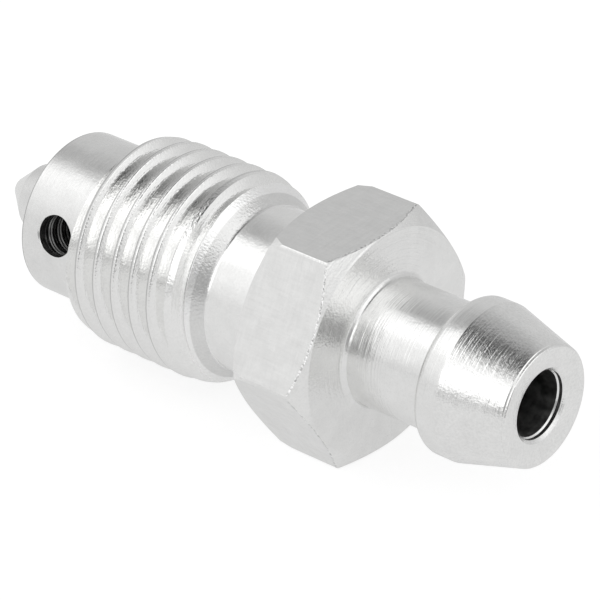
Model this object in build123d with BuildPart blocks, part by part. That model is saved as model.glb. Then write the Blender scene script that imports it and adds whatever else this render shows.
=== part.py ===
from build123d import *
import os
from math import atan2, cos, radians, sin, tan

# Bleeder screw of a hydraulic brake, turned from hexagon bar in one piece, in millimetres.
# It lies as it comes to rest: the rear edge of one hexagon flat and the first turn of the
# thread touch the ground, so the hose end is raised a little. X runs towards the hose end,
# Z is up, and the origin is on the ground below the middle of the length.
# In the profiles, x = 0 is the hexagon's front face and y is the distance from the axis.

# Hose barb: a land with a rounded back, then a cone down to the end face
barb_d = 6.9
barb_end_d = 5.25
barb_back_round = 0.4
barb_land_length = 0.77
barb_cone_length = 2.97
barb_end_round = 0.12

# Shank between the hexagon and the barb, where the hose is gripped
shank_d = 5.6
shank_length = 4.08
shank_fillet = 0.22

# Hexagon for the wrench, with a turned chamfer on both faces that starts inside the flats
hex_across_flats = 10.0
hex_length = 4.0
hex_front_face_inset = 0.03
hex_front_chamfer_angle = 32
hex_rear_face_inset = 0.2
hex_rear_chamfer_angle = 33

# Neck behind the hexagon, where the thread tool runs out
neck_d = 7.38
neck_length = 2.77

# Thread, 3/8-24 UNF, as its crests: they fall away a little where the thread runs out
# towards the neck and where it leads in at the nose, and a chamfer ends them at the neck
thread_d = 9.42
thread_length = 7.06
thread_end_chamfer = 0.95
thread_runout_d = 9.04
thread_runout_length = 0.82
thread_start_face_d = 8.9
thread_lead_length = 0.7

# Plain nose with the port, and the tip that seals in the caliper
nose_d = 7.28
nose_length = 3.58
nose_rim_chamfer = 0.15
stub_root_d = 4.2
stub_end_d = 2.97
stub_length = 2.26
tip_cone_length = 1.25
tip_flat_d = 0.86

# Blind bore from the hose end, and the port drilled into it from one side of the nose
bore_d = 3.0
bore_mouth_d = 3.36
bore_past_port = 0.5
drill_point_angle = 118
port_d = 1.9
port_mouth_d = 2.14
port_from_thread = 1.67
port_turn_above_side = 17.9

# Places along the axis
barb_back_x = shank_length
barb_land_x = barb_back_x + barb_back_round
barb_cone_x = barb_land_x + barb_land_length
hose_end_x = barb_cone_x + barb_cone_length
neck_x = -hex_length
thread_end_x = neck_x - neck_length
runout_x = thread_end_x - thread_end_chamfer
crest_end_x = runout_x - thread_runout_length
thread_start_x = thread_end_x - thread_length
crest_start_x = thread_start_x + thread_lead_length
nose_end_x = thread_start_x - nose_length
stub_end_x = nose_end_x - stub_length
tip_x = stub_end_x - tip_cone_length
port_x = thread_start_x - port_from_thread
bore_end_x = port_x - bore_past_port

# Rest: the rear edge of the lower flat and the first crest of the thread lie on the ground
flat_height = hex_across_flats / 2
flat_rear_x = neck_x + hex_rear_face_inset * tan(radians(hex_rear_chamfer_angle))
rest_tilt = atan2(flat_height - thread_d / 2, flat_rear_x - crest_start_x)
axis_height = flat_height * cos(rest_tilt) - flat_rear_x * sin(rest_tilt)
end_lean = (barb_end_d - tip_flat_d) / 2 * sin(rest_tilt)
axis_shift = -((hose_end_x + tip_x) * cos(rest_tilt) + end_lean) / 2

# Profile plane: x along the axis towards the hose end, y away from the axis and upwards
profile_plane = Plane(
    origin=(axis_shift, 0, axis_height),
    x_dir=(cos(rest_tilt), 0, sin(rest_tilt)),
    z_dir=(0, -1, 0),
)
screw_axis = Axis(profile_plane.origin, profile_plane.x_dir)


def across_axis(x):
    """Plane square to the axis at a place along it, with its y towards the upper flat."""
    return Plane(
        origin=profile_plane.from_local_coords((x, 0, 0)),
        x_dir=(0, 1, 0),
        z_dir=profile_plane.x_dir,
    )


# Hexagon, cut from bar and chamfered by a turned outline at both faces
corner_r = flat_height / cos(radians(30))
front_face_r = flat_height - hex_front_face_inset
rear_face_r = flat_height - hex_rear_face_inset
front_chamfer = (corner_r - front_face_r) * tan(radians(hex_front_chamfer_angle))
rear_chamfer = (corner_r - rear_face_r) * tan(radians(hex_rear_chamfer_angle))

with BuildPart() as hexagon:
    with BuildSketch(across_axis(neck_x)):
        RegularPolygon(radius=flat_height, side_count=6, major_radius=False)
    extrude(amount=hex_length)
    with BuildSketch(profile_plane):
        with BuildLine():
            Polyline(
                (0, 0),
                (0, front_face_r),
                (-front_chamfer, corner_r),
                (neck_x + rear_chamfer, corner_r),
                (neck_x, rear_face_r),
                (neck_x, 0),
                close=True,
            )
        make_face()
    revolve(axis=screw_axis, mode=Mode.INTERSECT)

# Whole screw: the turned outline, joined with the hexagon and then drilled
with BuildPart() as bleeder_screw:
    with BuildSketch(profile_plane) as outline:
        with BuildLine():
            Polyline(
                (hose_end_x, 0),
                (hose_end_x, barb_end_d / 2),
                (barb_cone_x, barb_d / 2),
                (barb_land_x, barb_d / 2),
            )
            CenterArc((barb_land_x, barb_d / 2 - barb_back_round), barb_back_round, 90, 90)
            Polyline(
                (barb_back_x, barb_d / 2 - barb_back_round),
                (barb_back_x, shank_d / 2),
                (shank_fillet, shank_d / 2),
            )
            CenterArc((shank_fillet, shank_d / 2 + shank_fillet), shank_fillet, 180, 90)
            # The line from the hexagon's front face to the neck lies inside the hexagon
            Polyline(
                (0, shank_d / 2 + shank_fillet),
                (neck_x, neck_d / 2),
                (thread_end_x, neck_d / 2),
                (runout_x, thread_runout_d / 2),
                (crest_end_x, thread_d / 2),
                (crest_start_x, thread_d / 2),
                (thread_start_x, thread_start_face_d / 2),
                (thread_start_x, nose_d / 2),
                (nose_end_x + nose_rim_chamfer, nose_d / 2),
                (nose_end_x, nose_d / 2 - nose_rim_chamfer),
                (nose_end_x, stub_root_d / 2),
                (stub_end_x, stub_end_d / 2),
                (tip_x, tip_flat_d / 2),
                (tip_x, 0),
                (hose_end_x, 0),
            )
        make_face()
        end_rim = outline.vertices().group_by(Axis.X)[-1].sort_by(Axis.Y)[-1]
        fillet(end_rim, barb_end_round)
    revolve(axis=screw_axis)
    add(hexagon.part)

    # Bore with a countersunk mouth and the drill's point at its blind end
    with BuildSketch(profile_plane):
        with BuildLine():
            Polyline(
                (hose_end_x, 0),
                (hose_end_x, bore_mouth_d / 2),
                (hose_end_x - (bore_mouth_d - bore_d) / 2, bore_d / 2),
                (bore_end_x, bore_d / 2),
                (bore_end_x - bore_d / 2 / tan(radians(drill_point_angle / 2)), 0),
                close=True,
            )
        make_face()
    revolve(axis=screw_axis, mode=Mode.SUBTRACT)

    # Port from the near side of the nose into the bore, its edge broken by a countersink
    port_plane = Plane(
        origin=profile_plane.from_local_coords((port_x, 0, 0)),
        x_dir=profile_plane.x_dir,
        z_dir=profile_plane.y_dir * sin(radians(port_turn_above_side))
        + profile_plane.z_dir * cos(radians(port_turn_above_side)),
    )
    with Locations(port_plane.offset(nose_d / 2)):
        CounterSinkHole(
            radius=port_d / 2,
            counter_sink_radius=port_mouth_d / 2,
            depth=nose_d / 2,
            counter_sink_angle=90,
        )

bleeder_screw.part.label = "bleeder_screw"

os.makedirs("parts", exist_ok=True)
export_step(bleeder_screw.part, "parts/bleeder_screw.step")
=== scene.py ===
from math import atan2, cos, pi, radians, sin, tan

import bpy
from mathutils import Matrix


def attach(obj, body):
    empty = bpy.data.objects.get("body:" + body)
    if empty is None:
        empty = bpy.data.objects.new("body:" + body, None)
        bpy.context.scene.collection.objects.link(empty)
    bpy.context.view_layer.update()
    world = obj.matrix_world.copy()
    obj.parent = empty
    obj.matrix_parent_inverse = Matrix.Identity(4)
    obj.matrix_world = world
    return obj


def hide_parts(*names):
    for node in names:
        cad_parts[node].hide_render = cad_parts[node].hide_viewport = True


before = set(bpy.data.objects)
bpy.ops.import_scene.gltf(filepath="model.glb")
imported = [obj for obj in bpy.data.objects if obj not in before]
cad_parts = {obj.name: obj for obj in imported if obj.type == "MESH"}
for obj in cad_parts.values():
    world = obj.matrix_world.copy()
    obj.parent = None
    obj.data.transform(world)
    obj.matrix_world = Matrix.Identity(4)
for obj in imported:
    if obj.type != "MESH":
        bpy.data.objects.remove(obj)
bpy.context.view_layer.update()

# Sizes are in millimetres. X runs along the screw's axis towards the hose end, with x = 0 at
# the hexagon's front face, and r is the distance from the axis.

# Tip and nose
TIP_X = -20.92
TIP_R = 0.43
STUB_END_X = -19.67
STUB_END_R = 1.485
STUB_ROOT_R = 2.1
NOSE_END_X = -17.41
NOSE_R = 3.64

# Port in the side of the nose, turned up from straight sideways
PORT_X = -15.50
PORT_R = 0.92
PORT_RAISED = radians(17.9)

# Thread, with its groove's root at the top of the screw at GROOVE_X
THREAD_START_X = -13.95
THREAD_START_R = 4.50
CREST_START_X = -13.13
CREST_END_X = -8.54
CREST_R = 4.71
RUN_OUT_X = -7.72
RUN_OUT_R = 4.52
THREAD_END_X = -6.77
GROOVE_X = -8.805
GROOVE_R = 4.065
PITCH = 1.0175

# Neck and hexagon, with a chamfer on each of its faces
NECK_R = 3.69
HEX_REAR_X = -4.0
REAR_FACE_R = 4.8
REAR_SLOPE = tan(radians(33))
REAR_BEND_R = 5.62
FLAT_R = 5.0
CORNER_R = FLAT_R / cos(radians(30))
OUTSIDE_R = 6.2
FRONT_SLOPE = tan(radians(32))
FRONT_FACE_R = 4.97

# Shank and hose barb
SHANK_R = 2.8
BARB_X = 4.08
BARB_R = 3.45
CONE_X = 5.25
HOSE_END_X = 8.22
RIM_R = 2.625

# Bore, with a step in its mouth and the drill's point at its blind end
MOUTH_X = 8.06
MOUTH_R = 1.64
STEP_START_X = 7.93
STEP_END_X = 7.77
STEP_R = 1.5
BORE_START_X = 7.71
BORE_END_X = -16.0
BORE_R = 1.44
DRILL_POINT_SLOPE = tan(radians(59))

# The screw rests on the rear edge of a flat and on the first crest of its thread. REST_PLACE is
# where x = 0 on the axis comes to lie, in metres, with the screw's middle over the origin.
REST_EDGE_X = HEX_REAR_X + (FLAT_R - REAR_FACE_R) * REAR_SLOPE
REST_TILT = atan2(FLAT_R - CREST_R, REST_EDGE_X - CREST_START_X)
END_LEAN = (RIM_R - TIP_R) * sin(REST_TILT)
REST_PLACE = (
    -((HOSE_END_X + TIP_X) * cos(REST_TILT) + END_LEAN) / 2 / 1000,
    0.0,
    (FLAT_R * cos(REST_TILT) - REST_EDGE_X * sin(REST_TILT)) / 1000,
)


def start_piece(name):
    """A single vertex at the origin, in edit mode, ready to be drawn on."""
    bpy.ops.object.select_all(action="DESELECT")
    bpy.ops.mesh.primitive_plane_add(size=1.0)
    piece = bpy.context.object
    piece.name = name
    piece.data.name = name
    bpy.ops.object.mode_set(mode="EDIT")
    bpy.ops.mesh.select_mode(type="VERT")
    bpy.ops.mesh.select_all(action="SELECT")
    bpy.ops.mesh.merge(type="CENTER")
    return piece


def draw_outline(points):
    """Extrudes the selected vertex from point to point in the XZ plane."""
    x, r = points[0]
    bpy.ops.transform.translate(value=(x, 0, r))
    for next_x, next_r in points[1:]:
        bpy.ops.mesh.extrude_vertices_move(
            TRANSFORM_OT_translate={"value": (next_x - x, 0, next_r - r)}
        )
        x, r = next_x, next_r


def round_corner(piece, x, r, size, steps):
    """Rounds the corner of the drawn outline at this place."""
    bpy.ops.mesh.select_all(action="DESELECT")
    bpy.ops.object.mode_set(mode="OBJECT")
    for vertex in piece.data.vertices:
        vertex.select = abs(vertex.co.x - x) < 0.001 and abs(vertex.co.z - r) < 0.001
    bpy.ops.object.mode_set(mode="EDIT")
    bpy.ops.mesh.bevel(offset=size, segments=steps, affect="VERTICES")


def spin_outline(steps):
    """Turns the drawn outline into a closed body, with all faces outwards."""
    bpy.ops.mesh.select_all(action="SELECT")
    bpy.ops.mesh.spin(steps=steps, angle=2 * pi, center=(0, 0, 0), axis=(1, 0, 0))
    bpy.ops.mesh.select_all(action="SELECT")
    bpy.ops.mesh.remove_doubles(threshold=0.0005)
    bpy.ops.mesh.normals_make_consistent(inside=False)
    bpy.ops.object.mode_set(mode="OBJECT")


def make_active(piece):
    """Selects the piece alone."""
    bpy.ops.object.select_all(action="DESELECT")
    piece.select_set(True)
    bpy.context.view_layer.objects.active = piece


def cut_with(piece, cutter):
    """Takes the cutter out of the piece, and removes the cutter."""
    make_active(piece)
    cut = piece.modifiers.new("cut", "BOOLEAN")
    cut.operation = "DIFFERENCE"
    cut.solver = "EXACT"
    cut.object = cutter
    bpy.ops.object.modifier_apply(modifier=cut.name)
    bpy.data.objects.remove(cutter)
    # The cut leaves points that all but coincide, and slivers between them
    bpy.ops.object.mode_set(mode="EDIT")
    bpy.ops.mesh.select_all(action="SELECT")
    bpy.ops.mesh.remove_doubles(threshold=0.0005)
    bpy.ops.mesh.dissolve_degenerate(threshold=0.0005)
    bpy.ops.object.mode_set(mode="OBJECT")


def turn_body():
    """The whole screw as it leaves the lathe, before its flats are cut."""
    body = start_piece("bleeder_screw_turned")
    tip_and_nose = [
        (TIP_X, 0),
        (TIP_X, TIP_R),
        (STUB_END_X, STUB_END_R),
        (NOSE_END_X, STUB_ROOT_R),
        (NOSE_END_X, NOSE_R),
        (THREAD_START_X, NOSE_R),
    ]
    thread_and_neck = [
        (THREAD_START_X, THREAD_START_R),
        (CREST_START_X, CREST_R),
        (CREST_END_X, CREST_R),
        (RUN_OUT_X, RUN_OUT_R),
        (THREAD_END_X, NECK_R),
        (HEX_REAR_X, NECK_R),
    ]
    # The rear chamfer bends to a shallower one, which just reaches the corners
    hexagon = [
        (HEX_REAR_X, REAR_FACE_R),
        (HEX_REAR_X + (REAR_BEND_R - REAR_FACE_R) * REAR_SLOPE, REAR_BEND_R),
        (-2.75, 5.79),
        (-2.72, OUTSIDE_R),
        ((FRONT_FACE_R - OUTSIDE_R) * FRONT_SLOPE, OUTSIDE_R),
        (0, FRONT_FACE_R),
    ]
    shank_and_barb = [
        (0, SHANK_R),
        (BARB_X, SHANK_R),
        (BARB_X, BARB_R),
        (CONE_X, BARB_R),
    ]
    # A fine groove behind the rim leaves a lip at the hose end
    lip = [
        (8.03, 2.678),
        (8.07, 2.647),
        (8.11, 2.656),
        (HOSE_END_X, RIM_R),
    ]
    bore = [
        (MOUTH_X, MOUTH_R),
        (STEP_START_X, STEP_R),
        (STEP_END_X, STEP_R),
        (BORE_START_X, BORE_R),
        (BORE_END_X, BORE_R),
        (BORE_END_X - BORE_R / DRILL_POINT_SLOPE, 0),
    ]
    draw_outline(tip_and_nose + thread_and_neck + hexagon + shank_and_barb + lip + bore)

    round_corner(body, BARB_X, BARB_R, size=0.4, steps=10)
    round_corner(body, 0, SHANK_R, size=0.28, steps=8)
    round_corner(body, HOSE_END_X, RIM_R, size=0.09, steps=6)
    round_corner(body, THREAD_END_X, NECK_R, size=0.12, steps=4)
    round_corner(body, RUN_OUT_X, RUN_OUT_R, size=0.12, steps=3)
    round_corner(body, NOSE_END_X, NOSE_R, size=0.08, steps=3)
    round_corner(body, NOSE_END_X, STUB_ROOT_R, size=0.05, steps=3)
    for x, r in (
        (TIP_X, TIP_R),
        (STUB_END_X, STUB_END_R),
        (THREAD_START_X, THREAD_START_R),
        (CONE_X, BARB_R),
        (MOUTH_X, MOUTH_R),
    ):
        round_corner(body, x, r, size=0.02, steps=2)
    spin_outline(steps=256)
    return body


def cut_flats(body):
    """Cuts the hexagon's six flats, and puts a small bevel on its corners."""
    bpy.ops.object.mode_set(mode="EDIT")
    for side in range(6):
        turn = side * pi / 3
        across = (0, sin(turn), cos(turn))
        bpy.ops.mesh.select_all(action="SELECT")
        bpy.ops.mesh.bisect(
            plane_co=tuple(FLAT_R * part for part in across),
            plane_no=across,
            use_fill=True,
            clear_outer=True,
            threshold=0.00001,
        )
    bpy.ops.mesh.select_all(action="DESELECT")
    bpy.ops.mesh.select_mode(type="EDGE")
    bpy.ops.object.mode_set(mode="OBJECT")
    vertices = body.data.vertices
    for edge in body.data.edges:
        a, b = (vertices[index].co for index in edge.vertices)
        along_axis = abs(a.x - b.x) > 1.0
        at_corner = min(a.yz.length, b.yz.length) > CORNER_R - 0.07
        edge.select = along_axis and at_corner
    bpy.ops.object.mode_set(mode="EDIT")
    bpy.ops.mesh.bevel(offset=0.12, segments=4, affect="EDGES")
    bpy.ops.object.mode_set(mode="OBJECT")


def thread_cutter():
    """A right-handed coil with the section of the thread's groove."""
    coil = start_piece("thread_cutter")
    # From the middle of the root, up a flank and over the rounded crest to outside it
    flank = [
        (0.0, GROOVE_R),
        (0.03, 4.07),
        (0.056, 4.09),
        (0.37, 4.635),
        (0.40, 4.675),
        (0.43, 4.70),
        (0.464, CREST_R),
        (0.464, 4.80),
    ]
    draw_outline(flank + [(-x, r) for x, r in reversed(flank[1:])])
    bpy.ops.mesh.select_all(action="SELECT")
    bpy.ops.mesh.edge_face_add()
    bpy.ops.mesh.delete(type="ONLY_FACE")
    # The coil starts below the axis, half a turn and five pitches before the measured root
    bpy.ops.mesh.select_all(action="SELECT")
    bpy.ops.transform.translate(value=(GROOVE_X - 5.5 * PITCH, 0, 0))
    bpy.ops.object.mode_set(mode="OBJECT")
    coil.rotation_euler.x = pi
    bpy.ops.object.transform_apply(location=False, rotation=True, scale=False)
    winding = coil.modifiers.new("winding", "SCREW")
    winding.axis = "X"
    winding.angle = 2 * pi
    winding.screw_offset = PITCH
    winding.iterations = 8
    winding.steps = 128
    winding.render_steps = 128
    winding.use_merge_vertices = False
    bpy.ops.object.modifier_apply(modifier=winding.name)
    # Its two open ends are closed
    bpy.ops.object.mode_set(mode="EDIT")
    bpy.ops.mesh.select_all(action="SELECT")
    bpy.ops.mesh.remove_doubles(threshold=0.0001)
    bpy.ops.mesh.select_all(action="DESELECT")
    bpy.ops.mesh.select_non_manifold(extend=False)
    bpy.ops.mesh.fill_holes(sides=0)
    bpy.ops.mesh.select_all(action="SELECT")
    bpy.ops.mesh.normals_make_consistent(inside=False)
    bpy.ops.object.mode_set(mode="OBJECT")
    return coil


def port_cutter():
    """The drill for the port, drawn along X from the axis outwards and then turned into place."""
    drill = start_piece("port_cutter")
    # Uneven ridges, which the drill left on the port's wall
    ridges = []
    for ridge in range(8):
        start = 1.75 + 0.19 * ridge + 0.02 * sin(4.0 * ridge)
        top_r = 0.89 + 0.015 * sin(2.0 * ridge)
        ridges += [(start, PORT_R), (start + 0.10, top_r), (start + 0.14, PORT_R)]
    broken_edge = [(3.57, PORT_R), (3.60, 0.94), (3.66, 1.00), (4.0, 1.34)]
    draw_outline([(1.0, 0.0), (1.0, PORT_R)] + ridges + broken_edge + [(4.0, 0.0)])
    spin_outline(steps=96)
    drill.rotation_euler = (0, -PORT_RAISED, radians(-90))
    drill.location.x = PORT_X
    bpy.ops.object.transform_apply(location=True, rotation=True, scale=False)
    return drill


def lay_down(screw):
    """Brings the finished screw to where it rests, in metres, and smooths its shading."""
    make_active(screw)
    screw.scale = (0.001, 0.001, 0.001)
    screw.rotation_euler = (0, -REST_TILT, 0)
    screw.location = REST_PLACE
    bpy.ops.object.transform_apply(location=True, rotation=True, scale=True)
    bpy.ops.object.shade_smooth_by_angle(angle=radians(12))
    even = screw.modifiers.new("even_shading", "WEIGHTED_NORMAL")
    even.keep_sharp = True
    bpy.ops.object.modifier_apply(modifier=even.name)


def calc(tree, operation, *values):
    """A Math node fed by sockets or plain numbers, and its output."""
    node = tree.nodes.new("ShaderNodeMath")
    node.operation = operation
    for socket, value in zip(node.inputs, values):
        if isinstance(value, (int, float)):
            socket.default_value = value
        else:
            tree.links.new(value, socket)
    return node.outputs[0]


def fade(tree, value, start, end, low=0.0, high=1.0):
    """Goes smoothly from low to high while the value goes from start to end."""
    node = tree.nodes.new("ShaderNodeMapRange")
    node.interpolation_type = "SMOOTHSTEP"
    for name, number in (("From Min", start), ("From Max", end), ("To Min", low), ("To Max", high)):
        node.inputs[name].default_value = number
    tree.links.new(value, node.inputs["Value"])
    return node.outputs[0]


def add_up(tree, parts):
    """The sum of each pattern times its amount."""
    total = 0.0
    for pattern, amount in parts:
        total = calc(tree, "MULTIPLY_ADD", pattern, amount, total)
    return total


def noise(tree, places, per_mm, detail=1.0, depth=None):
    """Noise about zero, from roughly -0.3 to 0.3, with this many patches per mm along x, y and z."""
    vector = tree.nodes.new("ShaderNodeCombineXYZ")
    for socket, place, number in zip(vector.inputs, places, per_mm):
        tree.links.new(calc(tree, "MULTIPLY", place, number), socket)
    node = tree.nodes.new("ShaderNodeTexNoise")
    node.noise_dimensions = "3D" if depth is None else "4D"
    node.inputs["Scale"].default_value = 1.0
    node.inputs["Detail"].default_value = detail
    tree.links.new(vector.outputs[0], node.inputs["Vector"])
    if depth is not None:
        tree.links.new(depth, node.inputs["W"])
    return calc(tree, "SUBTRACT", node.outputs["Fac"], 0.5)


def patches(tree, places, per_mm, detail=1.0):
    """Noise that is the same in every direction."""
    return noise(tree, places, (per_mm, per_mm, per_mm), detail)


def turning_rings(tree, places, r, per_mm):
    """Rings round the axis, along x on cylinders and along r on faces."""
    return noise(tree, places, (per_mm, 0.35, 0.35), depth=calc(tree, "MULTIPLY", r, per_mm))


def start_zinc(name):
    """A zinc material, its x, y and z with x along the screw's axis, and r, all in mm."""
    material = bpy.data.materials.new(name)
    material.use_nodes = True
    tree = material.node_tree
    coordinates = tree.nodes.new("ShaderNodeTexCoord")
    laid_down = tree.nodes.new("ShaderNodeMapping")
    laid_down.vector_type = "TEXTURE"
    laid_down.inputs["Location"].default_value = REST_PLACE
    laid_down.inputs["Rotation"].default_value = (0, -REST_TILT, 0)
    laid_down.inputs["Scale"].default_value = (0.001, 0.001, 0.001)
    tree.links.new(coordinates.outputs["Object"], laid_down.inputs["Vector"])
    parts = tree.nodes.new("ShaderNodeSeparateXYZ")
    tree.links.new(laid_down.outputs["Vector"], parts.inputs["Vector"])
    x, y, z = parts.outputs
    squares = calc(tree, "ADD", calc(tree, "MULTIPLY", y, y), calc(tree, "MULTIPLY", z, z))
    tree.nodes["Principled BSDF"].inputs["Metallic"].default_value = 1.0
    return material, tree, (x, y, z), calc(tree, "SQRT", squares)


def finish_zinc(tree, height, shade, roughness):
    """Gives the shader its relief in mm, its grey tone and its roughness."""
    shader = tree.nodes["Principled BSDF"]
    bump = tree.nodes.new("ShaderNodeBump")
    bump.inputs["Strength"].default_value = 1.0
    bump.inputs["Distance"].default_value = 0.001
    tree.links.new(height, bump.inputs["Height"])
    tree.links.new(bump.outputs["Normal"], shader.inputs["Normal"])
    tone = tree.nodes.new("ShaderNodeCombineColor")
    tree.links.new(shade, tone.inputs["Red"])
    tree.links.new(shade, tone.inputs["Green"])
    tree.links.new(calc(tree, "MULTIPLY", shade, 0.992), tone.inputs["Blue"])
    tree.links.new(tone.outputs["Color"], shader.inputs["Base Color"])
    tree.links.new(roughness, shader.inputs["Roughness"])


def zinc_turned():
    """Bright zinc over turning marks: coarse on the barb, shank and faces, faint on the nose."""
    material, tree, places, r = start_zinc("zinc_turned")
    x = places[0]
    fine = turning_rings(tree, places, r, 15.0)
    coarse = turning_rings(tree, places, r, 4.0)
    grain = patches(tree, places, 9.0, detail=2.0)
    mottle = patches(tree, places, 2.0)
    smudges = patches(tree, places, 0.9, detail=3.0)

    on_face = fade(tree, calc(tree, "ABSOLUTE", x), 0.10, 0.05)
    on_cone = fade(tree, x, CONE_X - 0.05, CONE_X + 0.10)
    outside_face = fade(tree, r, FRONT_FACE_R, FRONT_FACE_R + 0.06)
    in_front_chamfer = calc(tree, "MULTIPLY", outside_face, fade(tree, x, -2.0, -1.5))
    rough = calc(tree, "MAXIMUM", calc(tree, "MULTIPLY", on_cone, 0.4), in_front_chamfer)
    rough = calc(tree, "MAXIMUM", rough, calc(tree, "MULTIPLY", on_face, 0.7))
    marks = fade(tree, x, HEX_REAR_X, -0.5, 0.004, 0.012)
    height = add_up(
        tree,
        [
            (fine, calc(tree, "MULTIPLY_ADD", on_face, 0.006, marks)),
            (coarse, calc(tree, "MULTIPLY_ADD", on_face, 0.022, 0.006)),
            (grain, calc(tree, "MULTIPLY_ADD", rough, 0.014, 0.005)),
            (mottle, 0.010),
        ],
    )

    # The neck is a little brighter than the rest, and the nose a little duller
    nose_and_neck = fade(tree, x, -10.0, -12.0, 0.915, 0.845)
    base_tone = calc(tree, "ADD", nose_and_neck, fade(tree, x, -3.5, -2.0, 0.0, -0.04))
    near_nose_end = fade(tree, x, NOSE_END_X + 0.11, NOSE_END_X + 0.07)
    nose_rim = calc(tree, "MULTIPLY", near_nose_end, fade(tree, r, NOSE_R - 0.24, NOSE_R - 0.14))
    speckle = calc(tree, "MULTIPLY", grain, calc(tree, "MULTIPLY_ADD", on_cone, 0.08, 0.10))
    stains = add_up(tree, [(smudges, 0.12), (mottle, 0.06), (speckle, 1.0), (nose_rim, -0.35)])
    roughness = calc(tree, "MULTIPLY_ADD", smudges, 0.20, 0.19)
    finish_zinc(tree, height, calc(tree, "ADD", stains, base_tone), roughness)
    return material


def zinc_flats():
    """The hexagon's flats, drawn lengthwise, with a rough edge along the front chamfer."""
    material, tree, places, r = start_zinc("zinc_flats")
    drawn = noise(tree, places, (0.5, 8.0, 8.0), detail=2.0)
    across = noise(tree, places, (8.0, 0.8, 0.8), detail=2.0)
    grain = patches(tree, places, 9.0, detail=2.0)
    smudges = patches(tree, places, 1.6, detail=4.0)

    # Zero at the front chamfer, and below zero behind it, in mm along the axis
    from_chamfer = calc(tree, "MULTIPLY_ADD", calc(tree, "SUBTRACT", r, FRONT_FACE_R), FRONT_SLOPE, places[0])
    burr = fade(tree, from_chamfer, -0.15, -0.07)
    grain_height = calc(tree, "MULTIPLY_ADD", burr, 0.08, 0.002)
    height = add_up(tree, [(drawn, 0.003), (across, 0.003), (grain, grain_height)])

    stains = add_up(tree, [(smudges, 0.14), (drawn, 0.07), (across, 0.07), (grain, 0.05)])
    speckle = calc(tree, "MULTIPLY", calc(tree, "MULTIPLY", grain, burr), 2.2)
    shade = calc(tree, "ADD", calc(tree, "ADD", stains, speckle), 0.85)
    finish_zinc(tree, height, shade, calc(tree, "MULTIPLY_ADD", smudges, 0.1, 0.24))
    return material


def zinc_threads():
    """The thread: painted shade in its root, with rough crests and a rough run-out."""
    material, tree, places, r = start_zinc("zinc_threads")
    x, y, z = places
    grain = patches(tree, places, 10.0, detail=2.0)
    fine = turning_rings(tree, places, r, 13.0)
    smudges = patches(tree, places, 1.3, detail=3.0)

    crest = fade(tree, r, CREST_R - 0.16, CREST_R - 0.01)
    run_out = fade(tree, x, RUN_OUT_X - 0.18, RUN_OUT_X + 0.32)
    rough = calc(tree, "MAXIMUM", crest, run_out)
    height = add_up(tree, [(fine, 0.005), (grain, calc(tree, "MULTIPLY_ADD", rough, 0.016, 0.007))])

    # A dark line along each crest, where the flank towards the tip begins. The phase goes from
    # 0 at one root of the groove to 1 at the next.
    turn = calc(tree, "ARCTAN2", calc(tree, "MULTIPLY", y, -1.0), z)
    pitches = calc(tree, "MULTIPLY_ADD", turn, -1 / (2 * pi), calc(tree, "MULTIPLY", x, 1 / PITCH))
    phase = calc(tree, "FRACT", calc(tree, "ADD", pitches, -GROOVE_X / PITCH + 20.0))
    line = calc(tree, "MULTIPLY", fade(tree, phase, 0.36, 0.40), fade(tree, phase, 0.51, 0.47))
    line = calc(tree, "MULTIPLY", line, fade(tree, r, CREST_R - 0.16, CREST_R - 0.09))
    line = calc(tree, "MULTIPLY", line, fade(tree, x, CREST_END_X + 0.34, CREST_END_X - 0.06))

    # Painted shade: the tone falls off just above the groove's root and is darkest in the root itself.
    base_tone = fade(tree, r, GROOVE_R + 0.005, GROOVE_R + 0.055, 0.72, 0.925)
    # The run-out is painted lighter: painted light that offsets the floor's shadow reflected in it.
    shade = add_up(
        tree,
        [(smudges, 0.08), (grain, 0.12), (crest, -0.03), (line, -0.30), (run_out, 0.08), (base_tone, 1.0)],
    )
    dull = calc(tree, "MULTIPLY_ADD", run_out, 0.19, 0.13)
    finish_zinc(tree, height, shade, calc(tree, "MULTIPLY_ADD", smudges, 0.2, dull))
    return material


def zinc_bore():
    """The drilled walls, which the plating barely reached."""
    material, tree, places, r = start_zinc("zinc_bore")
    rings = turning_rings(tree, places, r, 6.0)
    stain = patches(tree, places, 2.5, detail=2.0)
    height = add_up(tree, [(rings, 0.012), (stain, 0.01)])
    plated = fade(tree, places[0], -13.0, -14.0, 0.32, 0.26)
    shade = calc(tree, "MULTIPLY", plated, calc(tree, "MULTIPLY_ADD", stain, 1.8, 1.0))
    finish_zinc(tree, height, shade, calc(tree, "MULTIPLY_ADD", stain, 0.3, 0.42))
    return material


def share_out_finishes(body):
    """Gives each face the finish of its place on the screw."""
    turned, flats, threads, bore = range(4)
    for finish in (zinc_turned(), zinc_flats(), zinc_threads(), zinc_bore()):
        body.data.materials.append(finish)
    port = (0.0, -cos(PORT_RAISED), sin(PORT_RAISED))
    for face in body.data.polygons:
        x, y, z = face.center
        r = face.center.yz.length
        along_port = y * port[1] + z * port[2]
        from_port = ((x - PORT_X) ** 2 + max(r**2 - along_port**2, 0)) ** 0.5
        in_port = from_port < PORT_R + 0.005 and 0 < along_port and r < NOSE_R - 0.04
        in_bore = r < STEP_R + 0.005 and NOSE_END_X + 0.21 < x < STEP_START_X
        in_step = BORE_START_X < x < STEP_END_X
        # Of the faces between the chamfers, only a flat is larger than 5 square mm
        on_flat = face.normal.yz.length > 0.9999 and HEX_REAR_X < x < 0 and r > 3.0 and face.area > 5
        on_thread = r > NECK_R + 0.03 and THREAD_START_X - 0.01 < x < THREAD_END_X + 0.07
        if in_port or (in_bore and not in_step):
            face.material_index = bore
        elif on_flat:
            face.material_index = flats
        elif on_thread:
            face.material_index = threads
        else:
            face.material_index = turned


def grey(tone):
    """A grey colour."""
    return (tone, tone, tone, 1)


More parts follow.
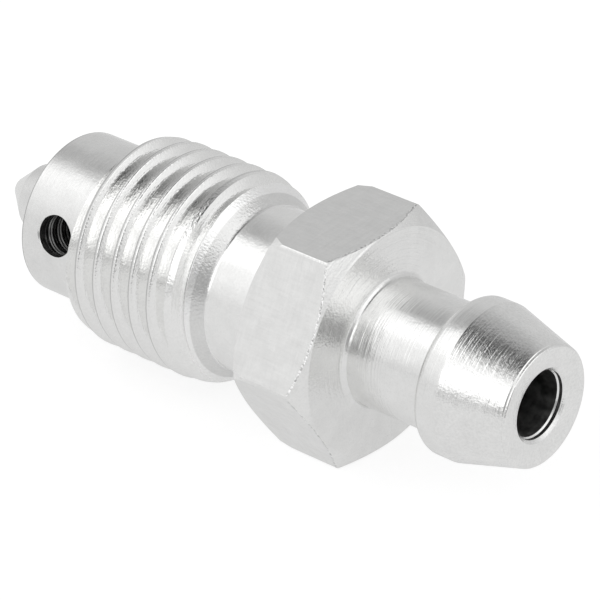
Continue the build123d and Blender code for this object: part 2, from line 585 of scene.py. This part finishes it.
def mixed(tree, factor, first, second):
    """Goes from the first colour to the second while the factor goes from 0 to 1."""
    node = tree.nodes.new("ShaderNodeMix")
    node.data_type = "RGBA"
    tree.links.new(factor, node.inputs["Factor"])
    for name, colour in (("A", first), ("B", second)):
        if isinstance(colour, tuple):
            node.inputs[name].default_value = colour
        else:
            tree.links.new(colour, node.inputs[name])
    return node.outputs["Result"]


def tone_ramp(tree, place, tones):
    """A ramp of greys by height in degrees, read at a place from -1 to 1."""
    ramp = tree.nodes.new("ShaderNodeValToRGB")
    stops = ramp.color_ramp.elements
    for stop, (height, tone) in zip(stops, (tones[0], tones[-1])):
        stop.position = 0.5 + sin(radians(height)) / 2
        stop.color = grey(tone)
    for height, tone in tones[1:-1]:
        stop = stops.new(0.5 + sin(radians(height)) / 2)
        stop.color = grey(tone)
    tree.links.new(calc(tree, "MULTIPLY_ADD", place, 0.5, 0.5), ramp.inputs["Fac"])
    return ramp.outputs["Color"]


def studio_world():
    """Bright walls in front, dimmer ones behind, four softboxes and a dark opening overhead."""
    world = bpy.data.worlds.new("studio")
    bpy.context.scene.world = world
    world.use_nodes = True
    tree = world.node_tree
    coordinates = tree.nodes.new("ShaderNodeTexCoord")
    parts = tree.nodes.new("ShaderNodeSeparateXYZ")
    tree.links.new(coordinates.outputs["Generated"], parts.inputs["Vector"])
    x, y, z = parts.outputs

    def disc(turn, height, inner, outer):
        """Softly 1 within a disc of the sky, its centre and radii given in degrees."""
        turn, height = radians(turn), radians(height)
        along_y = calc(tree, "MULTIPLY", y, sin(turn) * cos(height))
        along_z = calc(tree, "MULTIPLY_ADD", z, sin(height), along_y)
        nearness = calc(tree, "MULTIPLY_ADD", x, cos(turn) * cos(height), along_z)
        return fade(tree, nearness, cos(radians(outer)), cos(radians(inner)))

    def rising(start, end):
        """Goes from 0 to 1 between two heights in degrees."""
        return fade(tree, z, sin(radians(start)), sin(radians(end)))

    front = tone_ramp(
        tree,
        z,
        [
            (-90, 0.77),
            (0, 0.77),
            (6, 0.77),
            (10, 0.83),
            (20, 0.9),
            (30, 0.97),
            (40, 1.02),
            (50, 1.08),
            (60, 1.12),
            (70, 1.1),
            (90, 1.0),
        ],
    )
    behind = tone_ramp(
        tree,
        z,
        [
            (-90, 0.7),
            (0, 0.64),
            (25, 0.63),
            (32, 0.60),
            (40, 0.53),
            (50, 0.45),
            (60, 0.42),
            (90, 0.40),
        ],
    )
    back_wall = radians(116)
    backwards = calc(tree, "MULTIPLY_ADD", x, cos(back_wall), calc(tree, "MULTIPLY", y, sin(back_wall)))
    level = calc(tree, "SQRT", calc(tree, "SUBTRACT", 1.0001, calc(tree, "MULTIPLY", z, z)))
    turned_away = calc(tree, "DIVIDE", backwards, level)
    light = mixed(tree, fade(tree, turned_away, cos(radians(80)), cos(radians(38))), front, behind)

    # The dark side of the room behind the camera, then two softboxes on its left and one on its right
    for turn, height, inner, outer, tone in (
        (-54, 10, 18, 42, 0.36),
        (-148, 58, 8, 20, 1.22),
        (-122, 57, 4, 14, 1.6),
        (15, 57, 12, 30, 1.2),
    ):
        light = mixed(tree, disc(turn, height, inner, outer), light, grey(tone))

    # A low softbox in front, and the dark gap between it and the floor
    gap = calc(tree, "MULTIPLY", calc(tree, "MULTIPLY", rising(2, 4), rising(9, 6)), disc(-93, 5, 12, 26))
    low_box = calc(tree, "MULTIPLY", disc(-93, 30, 10, 22), rising(8.5, 11.5))
    light = mixed(tree, gap, light, grey(0.45))
    light = mixed(tree, low_box, light, grey(1.42))

    # The dark opening overhead, longer from the front to the back than it is wide
    wide = calc(tree, "DIVIDE", calc(tree, "ADD", x, sin(radians(5))), sin(radians(12.5)))
    deep = calc(tree, "DIVIDE", calc(tree, "ADD", y, sin(radians(4))), sin(radians(30)))
    squares = calc(tree, "ADD", calc(tree, "MULTIPLY", wide, wide), calc(tree, "MULTIPLY", deep, deep))
    opening = fade(tree, calc(tree, "SQRT", squares), 1.4, 0.2)
    overhead = calc(tree, "MULTIPLY", opening, fade(tree, z, 0.5, 0.7))
    light = mixed(tree, overhead, light, grey(0.0))

    path = tree.nodes.new("ShaderNodeLightPath")
    seen = mixed(tree, path.outputs["Is Camera Ray"], light, grey(1.0))
    tree.links.new(seen, tree.nodes["Background"].inputs["Color"])


def studio_floor():
    """A plain pale floor, seen white, and reflected dimmer behind the screw than in front of it."""
    bpy.ops.object.select_all(action="DESELECT")
    bpy.ops.mesh.primitive_circle_add(vertices=64, radius=1.5, fill_type="NGON", location=(0, 0, 0))
    floor = bpy.context.object
    floor.name = "floor"
    material = bpy.data.materials.new("pale_floor")
    material.use_nodes = True
    tree = material.node_tree
    shader = tree.nodes["Principled BSDF"]
    shader.inputs["Base Color"].default_value = grey(0.32)
    shader.inputs["Roughness"].default_value = 0.9
    shader.inputs["Specular IOR Level"].default_value = 0.0
    shader.inputs["Emission Color"].default_value = grey(1.0)
    coordinates = tree.nodes.new("ShaderNodeTexCoord")
    parts = tree.nodes.new("ShaderNodeSeparateXYZ")
    tree.links.new(coordinates.outputs["Object"], parts.inputs["Vector"])
    path = tree.nodes.new("ShaderNodeLightPath")
    in_metal = fade(tree, parts.outputs["Y"], 0.012, 0.032, 0.53, 0.40)
    reflected = calc(tree, "MULTIPLY", path.outputs["Is Glossy Ray"], in_metal)
    seen = calc(tree, "MULTIPLY_ADD", path.outputs["Is Camera Ray"], 0.80, reflected)
    tree.links.new(seen, shader.inputs["Emission Strength"])
    floor.data.materials.append(material)


def studio_camera():
    """The camera, at the photograph's viewing angle."""
    data = bpy.data.cameras.new("camera")
    data.lens = 242.67
    data.sensor_width = 36.0
    data.clip_start = 0.01
    data.clip_end = 10.0
    camera = bpy.data.objects.new("camera", data)
    camera.location = (0.09512672, -0.10551318, 0.09799231)
    camera.rotation_euler = (radians(56.63774), radians(1.30734), radians(40.69291))
    bpy.context.collection.objects.link(camera)
    bpy.context.scene.camera = camera


screw = turn_body()
cut_flats(screw)
cut_with(screw, thread_cutter())
cut_with(screw, port_cutter())
share_out_finishes(screw)
lay_down(screw)
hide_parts("bleeder_screw")
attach(screw, "root")

studio_world()
studio_floor()
studio_camera()
bpy.context.scene.view_settings.view_transform = "Standard"
